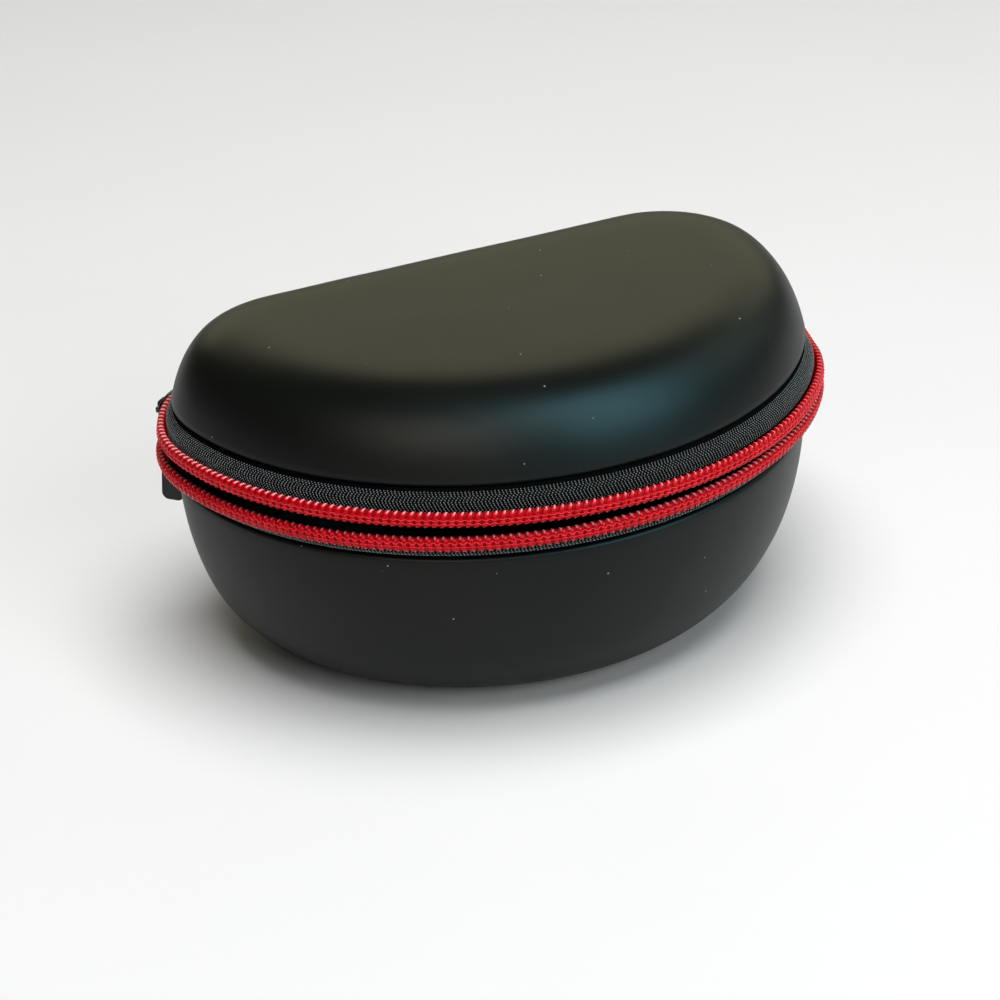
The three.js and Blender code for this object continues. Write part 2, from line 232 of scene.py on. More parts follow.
ZIP = ZipSizes()
MIDDLE = (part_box("lid_shell")[0].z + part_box("base_shell")[1].z) / 2 / MM
LID_PROFILE = Profile(rise=23.8, draft=0.2355, edge_power=4.4, crown_power=2.57)
BASE_PROFILE = Profile(rise=59.1, draft=0.048, edge_power=2.145, crown_power=2.5)


@dataclass(frozen=True)
class Run:
    """A stretch of the outline, for bands and lines of copies to follow.

    Offsets count outwards and heights from the zip's middle, downwards where up is -1.
    """

    points: Array
    outward: Array
    turns: Array
    up: int = 1

    def band(self, name: str, sections: Sequence[Array]) -> Mesh:
        """A closed band, from a ring of offsets and heights for each point."""
        rings = [
            np.hstack([point + section[:, :1] * outward, MIDDLE + self.up * section[:, 1:]])
            for point, outward, section in zip(self.points, self.outward, sections)
        ]
        return loft(name, np.array(rings), closed_ends=True)

    def line(self, spots: Sequence[Sequence[Array]]) -> Line:
        """A line of upright copies, from an offset and height and a normal for each point."""
        places, normals = (np.array(part) for part in zip(*spots))
        height = MIDDLE + self.up * places[:, 1]
        line = np.column_stack([self.points + places[:, :1] * self.outward, height])
        outs = np.column_stack([normals[:, :1] * self.outward, self.up * normals[:, 1]])
        along, slant = directions(line), np.zeros(len(line))
        return {"points": line, "along": along, "outward": outs, "slant": slant}


def zip_run(side: Side) -> Run:
    """The stretch of the outline that carries the zip, from its left end to its right end."""
    chosen = np.abs(LOOP_TURNS) < ZIP.end_turn
    return Run(LOOP_POINTS[chosen], LOOP_OUTWARD[chosen], LOOP_TURNS[chosen], side.value)


def swell(turns: float | Array, middle: float, reach: float) -> Array:
    """A smooth bump of height 1 round one turn of the outline, in degrees."""
    return np.exp(-(((np.asarray(turns) - middle) / reach) ** 2))


def drawn_in_at(side: Side, turns: float | Array) -> Array:
    """Millimetres by which the zip is drawn in near the slider, and at the right on both sides."""
    near_slider = {Side.LID: 0.9, Side.BASE: -0.15}[side]
    at_right, start, ease = 2.9, 63.0, 2.6
    right = at_right / (1 + np.exp((start - np.asarray(turns)) / ease))
    return near_slider * swell(turns, -118.0, 24.0) + right


def sunk_at(side: Side, turns: float | Array) -> Array:
    """Millimetres by which the base's row of teeth sinks away from the lid's round the front."""
    depth = {Side.LID: 0.0, Side.BASE: 0.5}[side]
    return depth * swell(turns, 5.0, 45.0)


def bezier(corners: Sequence[Sequence[float]], steps: int) -> tuple[Array, Array]:
    """Points and unit tangents of a cubic Bezier curve with four corners."""
    t = np.linspace(0, 1, steps + 1)[:, None]
    a, b, c, d = (np.asarray(corner, float) for corner in corners)
    points = (1 - t) ** 3 * a + 3 * (1 - t) ** 2 * t * b + 3 * (1 - t) * t**2 * c + t**3 * d
    slope = 3 * (1 - t) ** 2 * (b - a) + 6 * (1 - t) * t * (c - b) + 3 * t**2 * (d - c)
    return points, slope / np.linalg.norm(slope, axis=1)[:, None]


def thickened(points: Array, tangents: Array, thickness: float) -> Array:
    """A closed section from its outer face, with the inner face this far behind."""
    inner = points + thickness * right_of(tangents)
    return np.vstack([points, inner[::-1]])


def directions(points: Array) -> Array:
    """Unit tangents of a line of points."""
    tangent = np.gradient(points, axis=0)
    return tangent / np.linalg.norm(tangent, axis=1)[:, None]


def new_object(name: str, data: ID) -> Object:
    """A scene object that holds a mesh, a light or a camera."""
    obj = bpy.data.objects.new(name, data)
    bpy.context.scene.collection.objects.link(obj)
    return obj


def mesh_from(name: str, points: Array, faces: Sequence[Sequence[int]]) -> Mesh:
    """A smooth-shaded mesh from points in millimetres, its faces turned outwards.

    Args:
        name: The mesh's name.
        points: One row of x, y and z for each vertex.
        faces: Vertex numbers of each face.

    Returns:
        The new mesh, in metres.
    """
    mesh = bpy.data.meshes.new(name)
    mesh.from_pydata((np.asarray(points) * MM).tolist(), [], [list(face) for face in faces])
    made = bmesh.new()
    made.from_mesh(mesh)
    bmesh.ops.recalc_face_normals(made, faces=made.faces)
    made.to_mesh(mesh)
    made.free()
    mesh.shade_smooth()
    return mesh


def loft(name: str, rings: Array, closed_ends: bool = False, poles: bool = False) -> Mesh:
    """A mesh through rings of equal length.

    Args:
        name: The mesh's name.
        rings: Millimetres, indexed by ring, point and coordinate.
        closed_ends: Whether the first and last ring are filled by one face each.
        poles: Whether they are filled by a fan round their middle instead.

    Returns:
        The new mesh.
    """
    total, count = rings.shape[:2]
    number = np.arange(total * count).reshape(total, count)
    a, b = number[:-1], number[1:]
    faces = np.stack([a, np.roll(a, -1, 1), np.roll(b, -1, 1), b], axis=-1).reshape(-1, 4).tolist()
    points = rings.reshape(-1, 3)
    if closed_ends:
        faces += [number[0].tolist(), number[-1].tolist()]
    if poles:
        middles = np.stack([rings[0].mean(0), rings[-1].mean(0)])
        for ring, middle in ((number[0], len(points)), (number[-1], len(points) + 1)):
            faces += [[int(p), int(q), middle] for p, q in zip(ring, np.roll(ring, -1))]
        points = np.vstack([points, middles])
    return mesh_from(name, points, faces)


def tube(
    name: str,
    path: Array,
    radius: float | Array,
    sides: int,
    across: Floats = (1.0, 0.0, 0.0),
    width: float | Array = 1.0,
) -> Mesh:
    """A capped tube along an open path that never runs along one fixed direction.

    Args:
        name: The mesh's name.
        path: Millimetres, one row for each point.
        radius: The tube's radius, one for all points or one for each.
        sides: Sides of the section.
        across: The fixed direction, along which the section may be wider.
        width: How much wider it is there, one for all points or one for each.

    Returns:
        The new mesh.
    """
    path = np.asarray(path, float)
    tangent = directions(path)
    first = np.asarray(across) - tangent * (tangent @ np.asarray(across))[:, None]
    first /= np.linalg.norm(first, axis=1)[:, None]
    second = np.cross(tangent, first)
    angles = np.arange(sides) / sides * 2 * np.pi
    radii = np.broadcast_to(radius, len(path))[:, None, None]
    widths = radii * np.broadcast_to(width, len(path))[:, None, None]
    rings = path[:, None] + widths * np.cos(angles)[:, None] * first[:, None]
    rings = rings + radii * np.sin(angles)[:, None] * second[:, None]
    return loft(name, rings, closed_ends=True)


class Value:
    """A shader socket in an expression, so that maths on it adds Math nodes."""

    def __init__(self, graph: "Graph", socket: NodeSocket):
        """Wraps one output socket of a graph."""
        self.graph = graph
        self.socket = socket

    def math(self, operation: str, other: "Value | float") -> "Value":
        """The result of a Math node on this value and another."""
        return self.graph.node("ShaderNodeMath", {0: self, 1: other}, operation=operation)

    def __add__(self, other: "Value | float") -> "Value":
        """This value plus another."""
        return self.math("ADD", other)

    __radd__ = __add__

    def __mul__(self, other: "Value | float") -> "Value":
        """This value times another."""
        return self.math("MULTIPLY", other)

    __rmul__ = __mul__

    def __sub__(self, other: "Value | float") -> "Value":
        """This value less another."""
        return self.math("SUBTRACT", other)

    def __rsub__(self, other: float) -> "Value":
        """A number less this value."""
        return self.graph.node("ShaderNodeMath", {0: other, 1: self}, operation="SUBTRACT")

    def between(self, low: float, high: float) -> "Value":
        """0 below low and 1 above high, with a straight slope between them."""
        return self.graph.node("ShaderNodeMapRange", {0: self, 1: low, 2: high}, clamp=True)


class Graph:
    """A tree of nodes under construction."""

    def __init__(self, tree: NodeTree):
        """Takes the tree that the nodes go into."""
        self.tree = tree

    def node(
        self, kind: str, inputs: dict[int | str, object], output: int | str = 0, **settings: object
    ) -> Value:
        """Adds a node.

        Args:
            kind: The node's type.
            inputs: Values or links of its sockets, by number or name.
            output: The output socket to go on from.
            settings: Attributes of the node, which are set first.

        Returns:
            The chosen output.
        """
        made = self.tree.nodes.new(kind)
        for key, setting in settings.items():
            setattr(made, key, setting)
        for key, value in inputs.items():
            self.set(made.inputs[key], value)
        return Value(self, made.outputs[output])

    def set(self, target: NodeSocket, value: object) -> None:
        """Links a value to a socket, or sets the socket to a constant."""
        if isinstance(value, Value):
            self.tree.links.new(value.socket, target)
        else:
            target.default_value = value


class Finish(Graph):
    """A procedural material, built from nodes round one Principled shader."""

    def __init__(self, name: str):
        """Starts a material with its shader and its object coordinates."""
        self.material = bpy.data.materials.new(name)
        self.material.use_nodes = True
        super().__init__(self.material.node_tree)
        self.shader = self.tree.nodes["Principled BSDF"]
        self.place = self.node("ShaderNodeTexCoord", {}, "Object")

    def noise(self, per_mm: float, detail: float = 2.0) -> Value:
        """Noise from 0 to 1 with this many features to the millimetre."""
        inputs = {"Vector": self.place, "Scale": per_mm / MM, "Detail": detail}
        return self.node("ShaderNodeTexNoise", inputs, "Fac")

    def mix(self, factor: Value | float, first: object, second: object) -> Value:
        """Two colours, mixed by a factor."""
        inputs = {0: factor, 6: first, 7: second}
        return self.node("ShaderNodeMix", inputs, 2, data_type="RGBA")

    def bump(self, height: Value, distance_mm: float, strength: float = 1.0) -> Value:
        """A normal from a height, whose full range is this deep."""
        inputs = {"Height": height, "Distance": distance_mm * MM, "Strength": strength}
        return self.node("ShaderNodeBump", inputs)

    def feed(self, **sockets: object) -> Material:
        """Sets or links the shader's sockets, named with underscores for spaces."""
        for key, value in sockets.items():
            self.set(self.shader.inputs[key.replace("_", " ")], value)
        return self.material


@dataclass(frozen=True)
class SoftTouchSkin:
    """The smooth matte black skin of the shells, with fine grain, dust specks and scratches."""

    tone: Floats = (0.0025, 0.003, 0.0025, 1.0)
    faded: Floats = (0.0045, 0.005, 0.004, 1.0)
    dust: Floats = (0.42, 0.42, 0.38, 1.0)
    roughness: float = 0.42

    def make(self) -> Material:
        """Builds the material."""
        skin = Finish("soft_touch_skin")
        clouds = skin.noise(0.018, 3.0)
        grain = skin.noise(3.2)
        specks = self.dots(skin, skin.place, 9.0, (0.16, 0.3))
        turned = {"Vector": skin.place, "Rotation": (0.3, 0.2, 0.9), "Scale": (0.06, 1.0, 1.0)}
        stretched = skin.node("ShaderNodeMapping", turned, vector_type="POINT")
        scratches = self.dots(skin, stretched, 10.0, (0.05, 0.14))
        marks = (specks + scratches * 0.3).math("MINIMUM", 1.0)
        tone = skin.mix(clouds.between(0.3, 0.7), self.tone, self.faded)
        rough = clouds * 0.05 + grain * 0.06 + (self.roughness - 0.055) + specks * 0.3
        relief = grain * 0.75 + specks * 1.2 - scratches * 0.5
        return skin.feed(
            Base_Color=skin.mix(marks, tone, self.dust),
            Roughness=rough,
            Normal=skin.bump(relief, 0.03, 0.35),
            Specular_IOR_Level=0.18,
        )

    @staticmethod
    def dots(skin: Finish, place: Value, cell: float, radii: Pair) -> Value:
        """Mask of round dots, one to each cell at most.

        Args:
            skin: The material.
            place: Coordinates; stretched ones turn the dots into hairlines.
            cell: Width of a cell in millimetres.
            radii: Where a dot starts to fade and where it ends, in millimetres.

        Returns:
            The mask, 1 in a dot.
        """
        inputs = {"Vector": place, "Scale": 1 / (cell * MM), "Randomness": 1.0}
        distance = skin.node("ShaderNodeTexVoronoi", inputs, "Distance")
        return 1.0 - distance.between(radii[0] / cell, radii[1] / cell)


@dataclass(frozen=True)
class WovenCloth:
    """Black polyester yarn of the zip tapes and the hinge; on the floats' yarn the paler colour is
    a painted glint.
    """

    name: str
    tone: Floats
    # The paler colour: a slightly lighter tone on the ground, a painted glint on the yarn.
    shine: Floats
    roughness: float
    specular: float

    def make(self) -> Material:
        """Builds the material."""
        cloth = Finish(self.name)
        fibres = cloth.noise(5.0, 3.0)
        shade = cloth.noise(1.6, 1.0)
        return cloth.feed(
            # Where fibres and the slow noise run high, the paler colour shows: on the yarn,
            # painted glints.
            Base_Color=cloth.mix(fibres * 0.5 + shade * 0.5, self.tone, self.shine),
            Roughness=fibres * 0.2 + (self.roughness - 0.1),
            Normal=cloth.bump(fibres, 0.05, 0.6),
            Specular_IOR_Level=self.specular,
        )


@dataclass(frozen=True)
class Nylon:
    """Glossy red nylon of the teeth, with a pale painted highlight on its bends, and the duller
    red of their thread and cord.
    """

    name: str
    tone: Floats
    deep: Floats
    roughness: float
    coat: float
    # Pale pink base colour on the bends' ridges: a painted highlight.
    strained: Floats = (1.0, 0.5, 0.53, 1.0)

    def make(self) -> Material:
        """Builds the material; the wire is painted pale pink on the ridges of its bends, as a
        painted highlight.
        """
        nylon = Finish(self.name)
        cloudy = nylon.noise(0.4)
        fine = nylon.noise(4.0)
        plain = nylon.mix(cloudy.between(0.3, 0.7), self.tone, self.deep)
        # The coil's attribute mixes in the pale pink painted highlight.
        strain = nylon.node("ShaderNodeAttribute", {}, "Fac", attribute_name=PAINTED_HIGHLIGHT)
        return nylon.feed(
            Base_Color=nylon.mix(strain * strain, plain, self.strained),
            Roughness=fine * 0.12 + (self.roughness - 0.06),
            Normal=nylon.bump(fine, 0.02, 0.3),
            Coat_Weight=self.coat,
            Specular_IOR_Level=0.16,
            Specular_Tint=(1.0, 0.4, 0.42, 1.0),
            Coat_Roughness=0.15,
        )


@dataclass(frozen=True)
class Enamel:
    """Black enamel of the slider, worn in patches."""

    tone: Floats = (0.006, 0.006, 0.0065, 1.0)
    worn: Floats = (0.02, 0.02, 0.02, 1.0)

    def make(self) -> Material:
        """Builds the material."""
        enamel = Finish("black_enamel")
        wear = enamel.noise(1.2, 4.0)
        return enamel.feed(
            Base_Color=enamel.mix(wear.between(0.55, 0.75), self.tone, self.worn),
            Roughness=wear * 0.25 + 0.18,
            Metallic=0.3,
            Normal=enamel.bump(wear, 0.02, 0.3),
        )


@dataclass(frozen=True)
class PullRubber:
    """Satin black rubber of the pull tab."""

    tone: Floats = (0.006, 0.006, 0.0055, 1.0)
    faded: Floats = (0.012, 0.012, 0.011, 1.0)

    def make(self) -> Material:
        """Builds the material."""
        rubber = Finish("pull_rubber")
        fine = rubber.noise(4.0)
        cloudy = rubber.noise(0.2)
        return rubber.feed(
            Base_Color=rubber.mix(cloudy, self.tone, self.faded),
            Roughness=fine * 0.15 + 0.38,
            Specular_IOR_Level=0.25,
            Normal=rubber.bump(fine, 0.04, 0.4),
        )


class PathRepeater(Graph):
    """A node tree that sets copies of a small piece at even steps along a path."""

    def __init__(self) -> None:
        """Builds the tree once; every row of copies sets its own inputs."""
        super().__init__(bpy.data.node_groups.new("repeat_along_path", "GeometryNodeTree"))
        face = self.tree.interface
        face.new_socket("Geometry", in_out="INPUT", socket_type="NodeSocketGeometry")
        kinds = {"Piece": "Object", "Pitch": "Float", "Unevenness": "Float", "Finish": "Material"}
        self.inputs = {
            name: face.new_socket(name, in_out="INPUT", socket_type=f"NodeSocket{kind}")
            for name, kind in kinds.items()
        }
        face.new_socket("Geometry", in_out="OUTPUT", socket_type="NodeSocketGeometry")
        self.build()

    def build(self) -> None:
        """Links the tree: path, steps, directions, copies, realize, finish."""
        sockets = self.tree.nodes.new("NodeGroupInput").outputs
        given = {socket.name: Value(self, socket) for socket in sockets}
        along, outward, slant = (
            self.node("GeometryNodeInputNamedAttribute", {"Name": name}, data_type=kind)
            for name, kind in PATH_DATA.items()
        )
        curve = self.node("GeometryNodeMeshToCurve", {"Mesh": given["Geometry"]})
        inputs = {"Curve": curve, "Length": given["Pitch"]}
        steps = self.node("GeometryNodeResampleCurve", inputs, mode="LENGTH")
        axes = {"primary_axis": "X", "secondary_axis": "Y"}
        turned = self.node("FunctionNodeAxesToRotation", {0: along, 1: outward}, **axes)
        lean = self.node("ShaderNodeCombineXYZ", {"Y": slant})
        inputs = {0: turned, 1: self.node("FunctionNodeEulerToRotation", {0: lean})}
        rotation = self.node("FunctionNodeRotateRotation", inputs, rotation_space="LOCAL")
        inputs = {"Min": (-1.0,) * 3, "Max": (1.0,) * 3, "Seed": 7}
        spread = self.node("FunctionNodeRandomValue", inputs, data_type="FLOAT_VECTOR")
        inputs = {0: spread, "Scale": given["Unevenness"]}
        shift = self.node("ShaderNodeVectorMath", inputs, operation="SCALE")
        moved = self.node("GeometryNodeSetPosition", {"Geometry": steps, "Offset": shift})
        piece = self.node("GeometryNodeObjectInfo", {"Object": given["Piece"]}, "Geometry")
        inputs = {"Points": moved, "Instance": piece, "Rotation": rotation}
        copies = self.node("GeometryNodeInstanceOnPoints", inputs)
        real = self.node("GeometryNodeRealizeInstances", {"Geometry": copies})
        inputs = {"Geometry": real, "Material": given["Finish"]}
        dressed = self.node("GeometryNodeSetMaterial", inputs)
        self.set(self.tree.nodes.new("NodeGroupOutput").inputs["Geometry"], dressed)

    def repeat(
        self,
        name: str,
        path: Mesh,
        piece: Mesh,
        pitch: float,
        finish: Material,
        unevenness: float = 0.0,
    ) -> Mesh:
        """Sets copies of a piece along a path and makes the result a plain mesh.

        Args:
            name: Name of the finished mesh.
            path: Polylines with the point attributes along, outward and slant.
            piece: The mesh to copy, drawn with X along the path and Y outwards.
            pitch: Millimetres from copy to copy.
            finish: The material of every copy.
            unevenness: Millimetres by which a copy may lie off its place.

        Returns:
            The finished mesh.
        """
        sample = new_object(f"{name}_one", piece)
        host = new_object(f"{name}_path", path)
        modifier = host.modifiers.new("repeat", "NODES")
        modifier.node_group = self.tree
        settings = {"Piece": sample, "Pitch": pitch * MM, "Finish": finish}
        settings["Unevenness"] = unevenness * MM
        for key, value in settings.items():
            modifier[self.inputs[key].identifier] = value
        graph = bpy.context.evaluated_depsgraph_get()
        mesh = bpy.data.meshes.new_from_object(host.evaluated_get(graph))
        mesh.name = name
        for helper in (host, sample):
            bpy.data.objects.remove(helper)
        return mesh


def path_mesh(name: str, lines: Sequence[Line]) -> Mesh:
    """Polylines with their directions, ready for copies.

    Args:
        name: The mesh's name.
        lines: For each line its points in millimetres, along, outward and slant.

    Returns:
        A mesh of edges with point attributes.
    """
    points = np.vstack([line["points"] for line in lines]) * MM
    edges, start = [], 0
    for line in lines:
        end = start + len(line["points"])
        edges += zip(range(start, end - 1), range(start + 1, end))
        start = end
    mesh = bpy.data.meshes.new(name)
    mesh.from_pydata(points.tolist(), edges, [])
    for key, kind in PATH_DATA.items():
        layer = mesh.attributes.new(key, kind, "POINT")
        values = np.concatenate([line[key] for line in lines]).astype(np.float32)
        layer.data.foreach_set("vector" if values.ndim > 1 else "value", values.ravel())
    return mesh


def add_piece(mesh: Mesh, node: str, material: Material | None = None) -> None:
    """Sets a finished mesh into the scene and declares what it stands for and rides on.

    Args:
        mesh: The piece's mesh, whose name it takes.
        node: The CAD node that it replaces.
        material: Its material, where the mesh has none yet.
    """
    obj = new_object(mesh.name, mesh)
    if material is not None:
        mesh.materials.clear()
        mesh.materials.append(material)
    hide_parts(node)
    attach(obj, BODY)
    LOG.info("%s: %d faces, stands for %s", obj.name, len(mesh.polygons), node)


@dataclass
class MouldedShell:
    """One moulded foam shell: a hollow bowl with a rounded rim. Millimetres."""

    side: Side
    profile: Profile
    wall: float = 3.0
    rim_round: float = 1.4
    outer_steps: int = 46
    inner_steps: int = 14
    rim_steps: int = 5
    crown_rings: int = 10
    waviness: float = 0.16
    waves_per_metre: Pair = (22.0, 55.0)
    flat_foot: float = 4.0
    foot_fade: float = 12.0

    def section(self) -> Array:
        """The wall's section, from the outer crown over the rim to the inner crown."""
        share = np.linspace(1, 0, self.outer_steps, endpoint=False)
        outer = self.profile.at(share)
        outer = outer[outer[:, 1] > self.rim_round * 1.3]
        angles = np.linspace(0, np.pi / 2, self.rim_steps)
        in_by, down_by = self.rim_round * np.cos(angles), self.rim_round * np.sin(angles)
        lip = self.rim_round - np.stack([in_by, down_by], axis=1)
        lip[:, 0] += self.profile.draft * in_by
        inner_lip = np.stack([self.wall - lip[::-1, 0], lip[::-1, 1]], axis=1)
        inner = self.profile.moved_in(np.linspace(0, 1, self.inner_steps)[1:], self.wall)
        inner[-1, 0] = outer[0, 0]
        return np.vstack([outer, lip, inner_lip, inner])

    def rings(self) -> Array:
        """The rings of the shell, with the flat crowns drawn in towards their middles."""
        section = self.section()
        flat = LOOP_POINTS[None] - section[:, 0, None, None] * LOOP_OUTWARD[None]
        height = MIDDLE + self.side.value * ZIP.rim_rise + self.side.value * section[:, 1]
        rings = np.dstack([flat, np.broadcast_to(height[:, None], flat.shape[:2])])
        shares = np.linspace(0, 1, self.crown_rings, endpoint=False)[1:]
        outer = self.drawn_in(rings[0], shares[::-1])
        inner = self.drawn_in(rings[-1], shares)
        return np.vstack([outer, rings, inner])

    @staticmethod
    def drawn_in(ring: Array, shares: Array) -> Array:
        """Copies of a flat ring, shrunk towards its middle by these shares."""
        middle = ring.mean(0)
        return np.array([ring + (middle - ring) * share for share in shares])

    def uneven(self, mesh: Mesh) -> None:
        """Moves the surface by a slow random wave, as moulded foam has, but not at the foot."""
        slow, quick = self.waves_per_metre
        normals = [vertex.normal.copy() for vertex in mesh.vertices]
        for vertex, normal in zip(mesh.vertices, normals):
            wave = noise.noise(vertex.co * slow) + 0.5 * noise.noise(vertex.co * quick)
            hold = min(max((vertex.co.z / MM - self.flat_foot) / self.foot_fade, 0.0), 1.0)
            vertex.co += normal * (wave * self.waviness * MM * hold)

    def build(self, skin: Material) -> None:
        """Makes the shell and dresses it."""
        word = self.side.word
        mesh = loft(f"{word}_moulded_shell", self.rings(), poles=True)
        self.uneven(mesh)
        add_piece(mesh, f"{word}_shell", skin)


@dataclass
class Weave:
    """Woven cloth: a plain ground and twill floats, set in lines along it. Millimetres."""

    repeater: PathRepeater
    ground: Material
    yarn: Material
    pitch: float = 1.02
    line_gap: float = 0.6
    line_shift: float = 0.5
    float_length: float = 0.66
    float_width: float = 0.4
    float_height: float = 0.17
    slant: float = 30.0
    edge_lines: int = 2
    sunk: float = 0.02
    unevenness: float = 0.03
    most_moved: float = 0.9

    def one(self) -> Mesh:
        """A single float of yarn: a low closed bump, long across the tape."""
        sides = 5
        angles = (np.arange(sides) + 0.5) / sides * 2 * np.pi
        rings = []
        for scale, rise in ((1.0, -0.4), (0.6, 1.0)):
            x = np.cos(angles) * self.float_width / 2 * scale
            z = np.sin(angles) * self.float_length / 2 * scale
            y = np.full(sides, self.float_height * rise)
            rings.append(np.stack([x, y, z], axis=1))
        return loft("yarn_float", np.array(rings), closed_ends=True)

    def spot(self, curve: Array, tangents: Array, distance: float) -> tuple[Array, Array]:
        """Where a line of floats crosses a section.

        Args:
            curve: Outer face of the section.
            tangents: Its tangents.
            distance: Distance of the line from the curve's start.

        Returns:
            The place, a little under the face, and the face's normal there.
        """
        gone = lengths_along(curve)
        place, slope = (
            np.array([np.interp(distance, gone, values[:, k]) for k in (0, 1)])
            for values in (curve, tangents)
        )
        normal = np.array([-slope[1], slope[0]])
        return place - normal * self.sunk, normal

    def cover(
        self, word: str, node: str, run: Run, curves: Sequence[tuple[Array, Array]], ends: Pair
    ) -> None:
        """Makes a cloth: its ground, and lines of floats side by side along it.

        Args:
            word: Start of the names of both pieces.
            node: The CAD node that they replace.
            run: The stretch of the outline that the cloth follows.
            curves: For each point the outer face of the section, and its tangents.
            ends: Distances across the cloth where the lines start and end.
        """
        sections = [thickened(*curve, ZIP.tape_thickness) for curve in curves]
        add_piece(run.band(f"{word}_ground", sections), node, self.ground)
        lines = []
        for number, distance in enumerate(np.arange(*ends, self.line_gap)):
            line = run.line([self.spot(*curve, distance) for curve in curves])
            step = line["points"][1] - line["points"][0]
            moved = self.pitch * (number * self.line_shift % 1.0) / np.linalg.norm(step)
            line["points"][0] += step * min(moved, self.most_moved)
            turned = -1 if number < self.edge_lines else 1
            line["slant"] += math.radians(self.slant * turned)
            lines.append(line)
        path, name = path_mesh(f"{word}_lines", lines), f"{word}_weave"
        floats = (name, path, self.one(), self.pitch, self.yarn, self.unevenness)
        add_piece(self.repeater.repeat(*floats), node)


@dataclass
class ZipTape:
    """One woven tape: a bowed band from under the rim to behind its row of teeth. Millimetres."""

    side: Side
    weave: Weave
    steps: int = 14
    shoulder: float = 0.3
    bare_rim: float = 1.4
    bare_edge: float = 2.2

    def outer_curve(self, turn: float) -> tuple[Array, Array]:
        """Outer face of the section: offset and height over the zip's middle, and tangents."""
        rim = ZIP.rim_rise - ZIP.clearance
        face = ZIP.row_standoff - ZIP.row_depth / 2 - ZIP.clearance
        face -= float(drawn_in_at(self.side, turn))
        top = float(ZIP.row_centre(turn) + sunk_at(self.side, turn)) + ZIP.row_height / 2
        shoulder = rim + (top - rim) * self.shoulder
        start = -ZIP.tape_set_back
        corners = [(start, rim), (start, shoulder), (face, shoulder), (face, top)]
        points, tangents = bezier(corners, self.steps)
        tail = np.array([[face, top - ZIP.tape_overlap * share] for share in (0.5, 1.0)])
        down = np.array([[0.0, -1.0]] * 2)
        return np.vstack([points, tail]), np.vstack([tangents, down])

    def build(self) -> None:
        """Makes the tape's ground and its floats."""
        word = self.side.word
        run = zip_run(self.side)
        curves = [self.outer_curve(turn) for turn in run.turns]
        ends = (self.bare_rim, lengths_along(self.outer_curve(0.0)[0])[-1] - self.bare_edge)
        self.weave.cover(f"{word}_tape", f"{word}_zip_tape", run, curves, ends)


